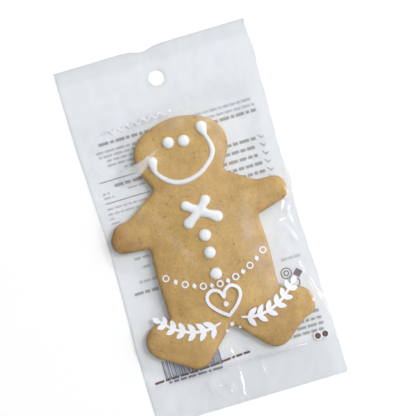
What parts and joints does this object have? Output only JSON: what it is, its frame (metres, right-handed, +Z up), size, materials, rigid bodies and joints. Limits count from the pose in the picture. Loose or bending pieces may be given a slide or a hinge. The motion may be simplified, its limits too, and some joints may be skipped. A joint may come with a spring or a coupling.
{
  "type": "gingerbread man biscuit in a clear bag",
  "caption": "Flat gingerbread man biscuit with white piped icing, sealed in a clear film bag with a hang hole in its header, lying on its back.",
  "frame": {"origin": "on the surface that the bag lies on, under the middle of the bag's box", "axes": "+Y from the bottom seal to the header, along the biscuit from feet to head; +Z up, out of the iced face"},
  "size_m": [0.099, 0.184, 0.0094],
  "materials": {
    "clear_film": "clear, glossy, slightly milky film",
    "biscuit": "matt baked ginger dough",
    "icing": "smooth set sugar icing",
    "print": "flat ink on film"
  },
  "bodies": {
    "root": {"bag": "clear_film"}
  },
  "joints": []
}
